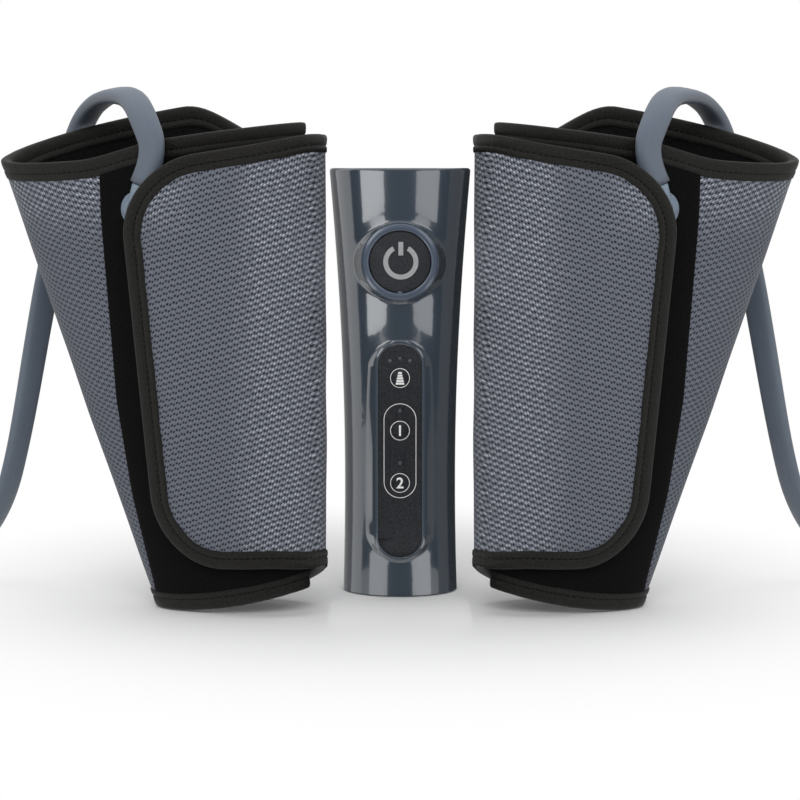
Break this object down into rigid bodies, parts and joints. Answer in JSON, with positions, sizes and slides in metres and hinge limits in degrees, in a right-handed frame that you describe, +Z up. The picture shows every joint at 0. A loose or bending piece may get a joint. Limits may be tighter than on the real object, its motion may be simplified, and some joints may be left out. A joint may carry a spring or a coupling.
{
  "type": "compression therapy pump",
  "caption": "Leg compression therapy set: an oval tower air-pump controller with a power button and key panel, beside rolled calf wraps, each with its air hose.",
  "frame": {"origin": "centre of the controller's base, on the surface that the whole set stands on", "axes": "+Z up, +X to the reader's right as the keys are read, -Y towards the person who presses them"},
  "size_m": [0.768, 0.1214, 0.2587],
  "materials": {
    "casing_plastic": "moulded ABS, satin gloss",
    "bezel_plastic": "moulded ABS, blue-grey",
    "black_plastic": "fine-textured ABS",
    "key_rubber": "silicone keys, fine-textured",
    "light_pipe": "smoked acrylic",
    "pad_rubber": "soft non-slip pad",
    "steel": "plated steel",
    "board_laminate": "glass-epoxy board",
    "inner_plastic": "moulded nylon",
    "cam_brass": "turned brass",
    "tube_rubber": "silicone tube",
    "lining_fabric": "brushed polyester lining",
    "bladder_film": "welded polyurethane film",
    "mesh_fabric": "polyester spacer mesh",
    "tape": "folded binding tape",
    "fastener_fabric": "hook-and-loop fastener",
    "port_plastic": "moulded fitting",
    "hose_rubber": "soft twin-bore hose"
  },
  "bodies": {
    "root": {"front_shell": "casing_plastic", "back_shell": "casing_plastic", "case_screws": "steel", "top_cap": "casing_plastic", "base_plate": "casing_plastic", "base_pad": "pad_rubber", "power_bezel": "bezel_plastic", "key_panel": "black_plastic", "pressure_lights": "light_pipe", "mode_lights": "light_pipe", "circuit_board": "board_laminate", "board_screws": "steel", "key_switches": "inner_plastic", "buzzer": "inner_plastic", "motor_cradle": "inner_plastic", "pump_motor": "steel", "pump_head": "inner_plastic", "air_manifold": "inner_plastic", "left_valve": "steel", "right_valve": "steel", "air_tubes": "tube_rubber", "left_hose_socket": "black_plastic", "right_hose_socket": "black_plastic", "power_jack": "black_plastic", "left_lining": "lining_fabric", "left_air_bladder": "bladder_film", "left_outer_fabric": "mesh_fabric", "left_knee_binding": "tape", "left_ankle_binding": "tape", "left_loop_panel": "fastener_fabric", "left_hose_port": "port_plastic", "left_hose": "hose_rubber", "left_hose_hank": "hose_rubber", "left_hose_connector": "port_plastic", "right_lining": "lining_fabric", "right_air_bladder": "bladder_film", "right_outer_fabric": "mesh_fabric", "right_knee_binding": "tape", "right_ankle_binding": "tape", "right_loop_panel": "fastener_fabric", "right_hose_port": "port_plastic", "right_hose": "hose_rubber", "right_hose_hank": "hose_rubber", "right_hose_connector": "port_plastic"},
    "power_button": {"power_button": "black_plastic"},
    "pressure_key": {"pressure_key": "key_rubber"},
    "mode_one_key": {"mode_one_key": "key_rubber"},
    "mode_two_key": {"mode_two_key": "key_rubber"},
    "pump_cam": {"pump_cam": "cam_brass"},
    "left_valve_plunger": {"left_valve_plunger": "steel"},
    "left_flap": {"left_flap": "mesh_fabric", "left_flap_binding": "tape", "left_hook_strip": "fastener_fabric"},
    "right_valve_plunger": {"right_valve_plunger": "steel"},
    "right_flap": {"right_flap": "mesh_fabric", "right_flap_binding": "tape", "right_hook_strip": "fastener_fabric"}
  },
  "joints": [
    {"name": "power_press", "type": "slide", "parent": "root", "child": "power_button", "axis": [0, 1, 0], "range_m": [0, 0.0007], "stiffness_N_per_m": 2500, "springref_m": -0.0003},
    {"name": "pressure_key_press", "type": "slide", "parent": "root", "child": "pressure_key", "axis": [0, 1, 0], "range_m": [0, 0.0005], "stiffness_N_per_m": 2500, "springref_m": -0.0003},
    {"name": "mode_one_key_press", "type": "slide", "parent": "root", "child": "mode_one_key", "axis": [0, 1, 0], "range_m": [0, 0.0005], "stiffness_N_per_m": 2500, "springref_m": -0.0003},
    {"name": "mode_two_key_press", "type": "slide", "parent": "root", "child": "mode_two_key", "axis": [0, 1, 0], "range_m": [0, 0.0005], "stiffness_N_per_m": 2500, "springref_m": -0.0003},
    {"name": "cam_spin", "type": "hinge", "parent": "root", "child": "pump_cam", "pos_m": [0, 0.003, 0.04], "axis": [0, 0, 1], "continuous": true},
    {"name": "left_valve_stroke", "type": "slide", "parent": "root", "child": "left_valve_plunger", "axis": [0, 0, -1], "range_m": [0, 0.001], "stiffness_N_per_m": 700, "springref_m": -0.0006},
    {"name": "right_valve_stroke", "type": "slide", "parent": "root", "child": "right_valve_plunger", "axis": [0, 0, -1], "range_m": [0, 0.001], "stiffness_N_per_m": 700, "springref_m": -0.0006},
    {"name": "left_flap_hinge", "type": "hinge", "parent": "root", "child": "left_flap", "pos_m": [-0.04055, -0.06786, 0.12719], "axis": [-0.0101, 0.0161, 0.9998], "range_deg": [0, 90]},
    {"name": "right_flap_hinge", "type": "hinge", "parent": "root", "child": "right_flap", "pos_m": [0.04055, -0.06786, 0.12719], "axis": [-0.0101, -0.0161, -0.9998], "range_deg": [0, 90]}
  ]
}
